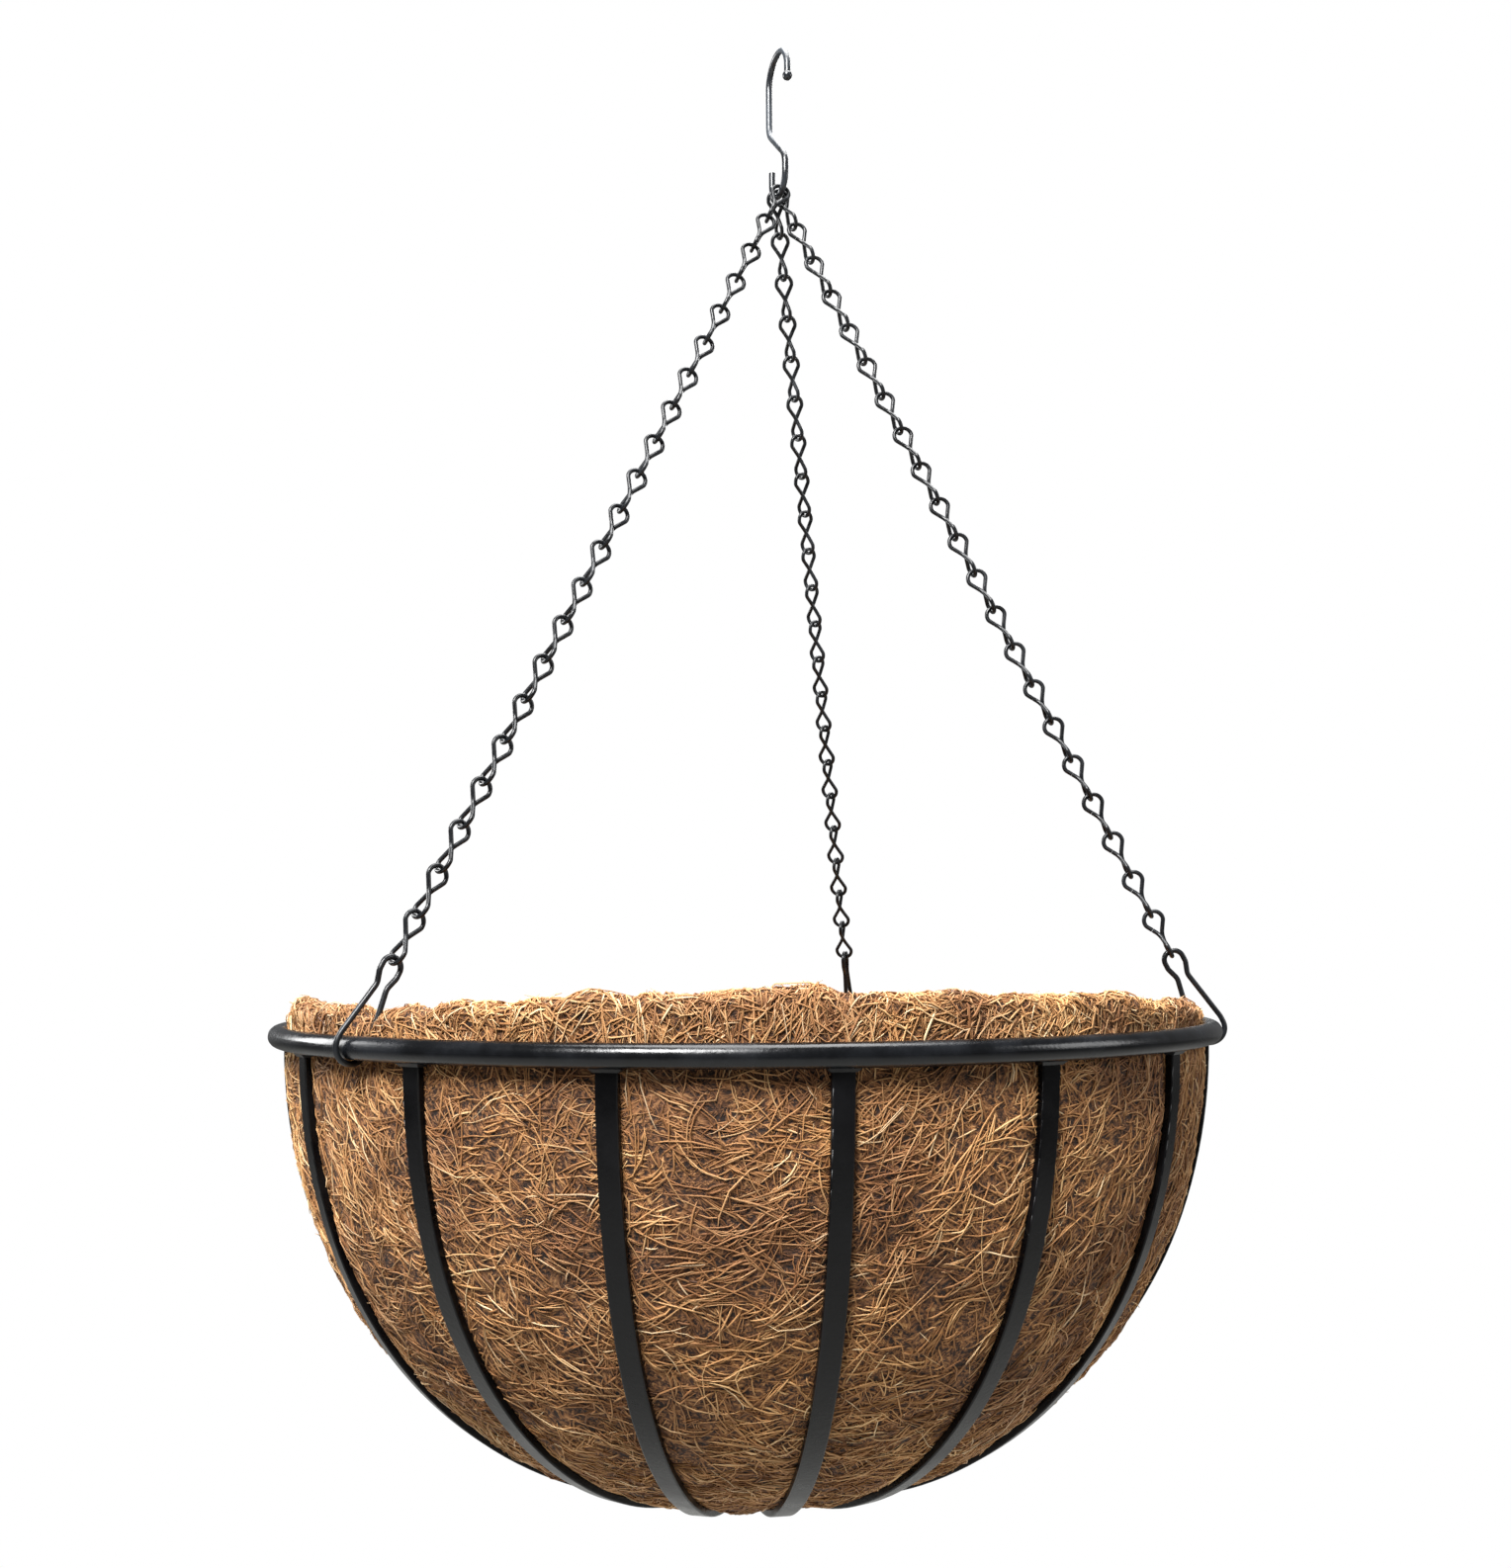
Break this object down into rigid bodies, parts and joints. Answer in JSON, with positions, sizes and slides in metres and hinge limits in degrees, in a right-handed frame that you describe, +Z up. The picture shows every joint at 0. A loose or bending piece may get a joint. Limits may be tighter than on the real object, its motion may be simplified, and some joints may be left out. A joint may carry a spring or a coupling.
{
  "type": "hanging basket",
  "caption": "Hanging basket: a welded flat-bar bowl with a round rim and a coir liner, hung from an S-hook on wire chains with clips round the rim.",
  "frame": {"origin": "the hook's seat: the inside top of its upper mouth, where it bears on a bracket", "axes": "+Z up along the line the basket hangs in, -Y the front, +X to the right seen from the front"},
  "size_m": [0.4059, 0.406, 0.6485],
  "materials": {
    "frame_steel": "satin black powder coat",
    "chain_wire": "black coated wire, semi-gloss",
    "hook_wire": "black coated wire, semi-gloss, rubbed at the bends",
    "coir": "matted coconut fibre, golden brown, rough"
  },
  "bodies": {
    "hook": {"top_hook": "hook_wire"},
    "basket": {"rim_hoop": "frame_steel", "rib_01": "frame_steel", "rib_02": "frame_steel", "rib_03": "frame_steel", "rib_04": "frame_steel", "rib_05": "frame_steel", "rib_06": "frame_steel", "rib_07": "frame_steel", "rib_08": "frame_steel", "rib_09": "frame_steel", "rib_10": "frame_steel", "rib_11": "frame_steel", "rib_12": "frame_steel", "rib_13": "frame_steel", "rib_14": "frame_steel", "rib_15": "frame_steel", "rib_16": "frame_steel", "rim_welds": "frame_steel", "base_disc": "frame_steel"},
    "liner": {"coir_liner": "coir"},
    "clip_left": {"clip_left": "chain_wire"},
    "chain_left_lower": {"chain_left_lower_links": "chain_wire"},
    "chain_left_middle": {"chain_left_middle_links": "chain_wire"},
    "chain_left_upper": {"chain_left_upper_links": "chain_wire"},
    "clip_right": {"clip_right": "chain_wire"},
    "chain_right_lower": {"chain_right_lower_links": "chain_wire"},
    "chain_right_middle": {"chain_right_middle_links": "chain_wire"},
    "chain_right_upper": {"chain_right_upper_links": "chain_wire"},
    "clip_back": {"clip_back": "chain_wire"},
    "chain_back_lower": {"chain_back_lower_links": "chain_wire"},
    "chain_back_middle": {"chain_back_middle_links": "chain_wire"},
    "chain_back_upper": {"chain_back_upper_links": "chain_wire"}
  },
  "joints": [
    {"name": "basket_swing", "type": "hinge", "parent": "hook", "child": "basket", "pos_m": [0, 0, -0.06802], "axis": [0.342, -0.9397, 0], "range_deg": [-25, 25]},
    {"name": "liner_lift", "type": "slide", "parent": "basket", "child": "liner", "axis": [0, 0, 1], "range_m": [0, 0.2]},
    {"name": "clip_left_turn", "type": "hinge", "parent": "basket", "child": "clip_left", "pos_m": [-0.15754, -0.14054, -0.454], "axis": [0.7066, -0.7066, -0.0391], "range_deg": [0, 170]},
    {"name": "chain_left_pivot", "type": "hinge", "parent": "clip_left", "child": "chain_left_lower", "pos_m": [-0.14535, -0.12999, -0.42435], "axis": [0.7066, -0.7066, -0.0391], "range_deg": [0, 10]},
    {"name": "chain_left_lower_bend", "type": "hinge", "parent": "chain_left_lower", "child": "chain_left_middle", "pos_m": [-0.09606, -0.08735, -0.3044], "axis": [0.7066, -0.7066, -0.0391], "range_deg": [0, 9]},
    {"name": "chain_left_upper_bend", "type": "hinge", "parent": "chain_left_middle", "child": "chain_left_upper", "pos_m": [-0.04714, -0.04502, -0.18536], "axis": [0.7066, -0.7066, -0.0391], "range_deg": [0, 7]},
    {"name": "clip_right_turn", "type": "hinge", "parent": "basket", "child": "clip_right", "pos_m": [0.17842, -0.03622, -0.454], "axis": [0.1822, 0.9832, -0.008], "range_deg": [0, 170]},
    {"name": "chain_right_pivot", "type": "hinge", "parent": "clip_right", "child": "chain_right_lower", "pos_m": [0.1643, -0.03335, -0.42348], "axis": [0.1822, 0.9832, -0.008], "range_deg": [0, 10]},
    {"name": "chain_right_lower_bend", "type": "hinge", "parent": "chain_right_lower", "child": "chain_right_middle", "pos_m": [0.10901, -0.02213, -0.30403], "axis": [0.1822, 0.9832, -0.008], "range_deg": [0, 9]},
    {"name": "chain_right_upper_bend", "type": "hinge", "parent": "chain_right_middle", "child": "chain_right_upper", "pos_m": [0.05416, -0.01099, -0.18551], "axis": [0.1822, 0.9832, -0.008], "range_deg": [0, 7]},
    {"name": "clip_back_turn", "type": "hinge", "parent": "basket", "child": "clip_back", "pos_m": [0.04111, 0.19007, -0.454], "axis": [-0.9557, 0.2922, 0.0367], "range_deg": [0, 170]},
    {"name": "chain_back_pivot", "type": "hinge", "parent": "clip_back", "child": "chain_back_lower", "pos_m": [0.0378, 0.17544, -0.42377], "axis": [-0.9557, 0.2922, 0.0367], "range_deg": [0, 10]},
    {"name": "chain_back_lower_bend", "type": "hinge", "parent": "chain_back_lower", "child": "chain_back_middle", "pos_m": [0.02469, 0.11749, -0.30399], "axis": [-0.9557, 0.2922, 0.0367], "range_deg": [0, 9]},
    {"name": "chain_back_upper_bend", "type": "hinge", "parent": "chain_back_middle", "child": "chain_back_upper", "pos_m": [0.01168, 0.05999, -0.18514], "axis": [-0.9557, 0.2922, 0.0367], "range_deg": [0, 7]}
  ],
  "couplings": [
    {"joint": "clip_left_turn", "follows": "liner_lift", "rad_per_m": 14.835},
    {"joint": "chain_left_pivot", "follows": "liner_lift", "rad_per_m": 0.8726},
    {"joint": "chain_left_lower_bend", "follows": "liner_lift", "rad_per_m": 0.7853},
    {"joint": "chain_left_upper_bend", "follows": "liner_lift", "rad_per_m": 0.6108},
    {"joint": "clip_right_turn", "follows": "liner_lift", "rad_per_m": 14.835},
    {"joint": "chain_right_pivot", "follows": "liner_lift", "rad_per_m": 0.8726},
    {"joint": "chain_right_lower_bend", "follows": "liner_lift", "rad_per_m": 0.7853},
    {"joint": "chain_right_upper_bend", "follows": "liner_lift", "rad_per_m": 0.6108},
    {"joint": "clip_back_turn", "follows": "liner_lift", "rad_per_m": 14.835},
    {"joint": "chain_back_pivot", "follows": "liner_lift", "rad_per_m": 0.8726},
    {"joint": "chain_back_lower_bend", "follows": "liner_lift", "rad_per_m": 0.7853},
    {"joint": "chain_back_upper_bend", "follows": "liner_lift", "rad_per_m": 0.6108}
  ]
}
